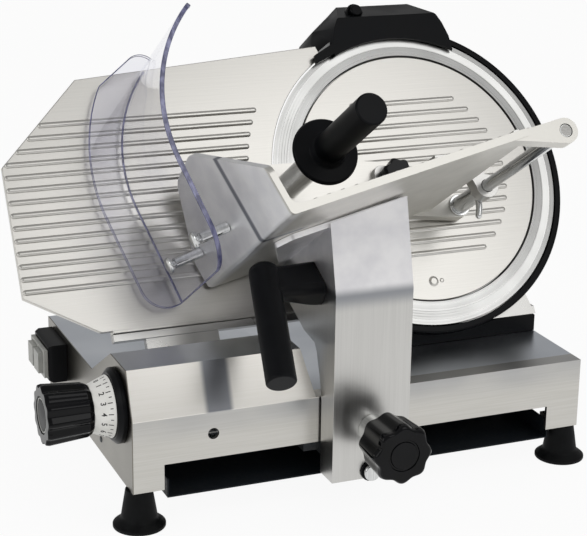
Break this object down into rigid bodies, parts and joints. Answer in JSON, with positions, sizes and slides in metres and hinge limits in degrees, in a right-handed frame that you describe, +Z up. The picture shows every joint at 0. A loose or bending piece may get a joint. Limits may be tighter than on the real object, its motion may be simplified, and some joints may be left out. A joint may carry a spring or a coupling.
{
  "type": "meat slicer",
  "caption": "Gravity-feed electric meat slicer with a tilted round blade, gauge plate, sliding food tray, pusher, clear guard and sharpener.",
  "frame": {"origin": "centre of the bounding box's footprint, on the floor under the feet", "axes": "+X to the operator's right along the carriage stroke, +Y away from the operator, +Z up"},
  "size_m": [0.5718, 0.408, 0.445],
  "materials": {
    "satin_aluminium": "satin cast and anodised aluminium",
    "black_paint": "black paint",
    "black_rubber": "black rubber",
    "polished_steel": "polished steel",
    "black_plastic": "satin black moulding",
    "cast_iron": "raw casting",
    "dark_steel": "dark plain steel",
    "brushed_plate": "brushed sheet",
    "white_plastic": "white moulding with black figures",
    "black_gloss": "glossy black moulding",
    "grey_plastic": "grey moulding",
    "clear_sheet": "clear polycarbonate sheet",
    "polished_aluminium": "polished aluminium",
    "abrasive": "bonded abrasive"
  },
  "bodies": {
    "base": {"base_housing": "satin_aluminium", "base_pan": "black_paint", "foot_front_left": "black_rubber", "foot_rear_left": "black_rubber", "foot_front_right": "black_rubber", "foot_rear_right": "black_rubber", "slide_rod": "polished_steel", "guide_bar": "polished_steel", "cord_gland": "black_plastic", "riser_block": "black_paint", "blade_stand": "satin_aluminium", "ring_guard": "black_plastic", "spindle_carrier": "cast_iron", "spindle_bearing": "polished_steel", "drive_belt": "black_rubber", "motor_body": "cast_iron", "motor_cover": "black_plastic", "blade_cover": "brushed_plate", "slice_deflector": "polished_steel", "gauge_rod_left": "polished_steel", "gauge_rod_right": "polished_steel", "dial_ring": "black_plastic", "switch_housing": "black_plastic", "switch_bezel": "grey_plastic"},
    "blade_rotor": {"blade": "polished_steel", "blade_clamp": "dark_steel", "blade_pulley": "cast_iron"},
    "motor_rotor": {"motor_pulley": "dark_steel"},
    "cover_release": {"cover_knob": "black_plastic"},
    "gauge": {"gauge_plate": "satin_aluminium", "gauge_bracket": "satin_aluminium"},
    "dial": {"dial_scale": "white_plastic", "dial_knob": "black_gloss", "dial_camshaft": "dark_steel"},
    "on_switch": {"on_button": "grey_plastic"},
    "off_switch": {"off_button": "grey_plastic"},
    "carriage": {"carriage_arm": "satin_aluminium", "carriage_bracket": "cast_iron", "arm_pin": "polished_steel", "arm_washer": "black_plastic", "knob_stud": "polished_steel", "food_tray": "satin_aluminium", "pusher_rod": "polished_steel", "rod_strip": "satin_aluminium", "guard": "clear_sheet", "guard_screw_front": "polished_steel", "guard_screw_rear": "polished_steel", "push_handle": "black_plastic"},
    "tray_lock": {"column_knob": "black_gloss"},
    "pusher_slider": {"pusher_sleeve": "polished_steel"},
    "pusher": {"pusher_arm": "satin_aluminium", "pusher_plate": "polished_aluminium", "pusher_spacer": "polished_steel", "pusher_grip": "black_plastic"},
    "pusher_lock": {"plate_knob": "black_gloss"},
    "sharpener": {"sharpener_cover": "black_plastic"},
    "deburr_button": {"sharpener_button": "black_plastic"},
    "grinding_stone": {"stone_left": "abrasive"},
    "deburring_stone": {"stone_right": "abrasive"}
  },
  "joints": [
    {"name": "carriage_slide", "type": "slide", "parent": "base", "child": "carriage", "axis": [1, 0, 0], "range_m": [-0.13, 0.155]},
    {"name": "blade_spin", "type": "hinge", "parent": "base", "child": "blade_rotor", "pos_m": [0.12795, 0.05216, 0.2531], "axis": [0, -0.8512, 0.5249], "continuous": true},
    {"name": "motor_spin", "type": "hinge", "parent": "base", "child": "motor_rotor", "pos_m": [0.21195, 0.06825, 0.22203], "axis": [0, -0.8512, 0.5249], "continuous": true},
    {"name": "dial_turn", "type": "hinge", "parent": "base", "child": "dial", "pos_m": [-0.21745, -0.06384, 0.104], "axis": [-1, 0, 0], "range_deg": [0, 330]},
    {"name": "gauge_slide", "type": "slide", "parent": "base", "child": "gauge", "axis": [0, 0.8512, -0.5249], "range_m": [0, 0.015]},
    {"name": "cover_release_turn", "type": "hinge", "parent": "base", "child": "cover_release", "pos_m": [0.12795, 0.10664, 0.21951], "axis": [0, -0.8512, 0.5249], "range_deg": [0, 360]},
    {"name": "on_press", "type": "slide", "parent": "base", "child": "on_switch", "axis": [1, 0, 0], "range_m": [0, 0.003], "stiffness_N_per_m": 900, "springref_m": -0.001},
    {"name": "off_press", "type": "slide", "parent": "base", "child": "off_switch", "axis": [1, 0, 0], "range_m": [0, 0.003], "stiffness_N_per_m": 900, "springref_m": -0.001},
    {"name": "tray_lock_turn", "type": "hinge", "parent": "carriage", "child": "tray_lock", "pos_m": [-0.00445, -0.17644, 0.08], "axis": [0, -1, 0], "range_deg": [0, 360]},
    {"name": "pusher_slide", "type": "slide", "parent": "carriage", "child": "pusher_slider", "axis": [0, -0.8512, 0.5249], "range_m": [0, 0.14]},
    {"name": "pusher_swing", "type": "hinge", "parent": "pusher_slider", "child": "pusher", "pos_m": [0.15605, -0.01896, 0.25208], "axis": [0, 0.8512, -0.5249], "range_deg": [0, 115]},
    {"name": "pusher_lock_turn", "type": "hinge", "parent": "pusher", "child": "pusher_lock", "pos_m": [0.07995, 0.00383, 0.26998], "axis": [0, -0.8512, 0.5249], "range_deg": [0, 360]},
    {"name": "sharpener_lift", "type": "slide", "parent": "base", "child": "sharpener", "axis": [0, 0.5249, 0.8512], "range_m": [0, 0.03]},
    {"name": "deburr_press", "type": "slide", "parent": "sharpener", "child": "deburr_button", "axis": [0, 0.8512, -0.5249], "range_m": [0, 0.004], "stiffness_N_per_m": 600, "springref_m": -0.001},
    {"name": "grinding_stone_spin", "type": "hinge", "parent": "sharpener", "child": "grinding_stone", "pos_m": [0.10495, 0.15821, 0.37744], "axis": [0, -0.8512, 0.5249], "continuous": true},
    {"name": "deburring_stone_spin", "type": "hinge", "parent": "sharpener", "child": "deburring_stone", "pos_m": [0.15095, 0.15821, 0.37744], "axis": [0, -0.8512, 0.5249], "continuous": true}
  ],
  "couplings": [
    {"joint": "motor_spin", "follows": "blade_spin", "ratio": 3.0588},
    {"joint": "dial_turn", "follows": "gauge_slide", "rad_per_m": 383.97}
  ]
}
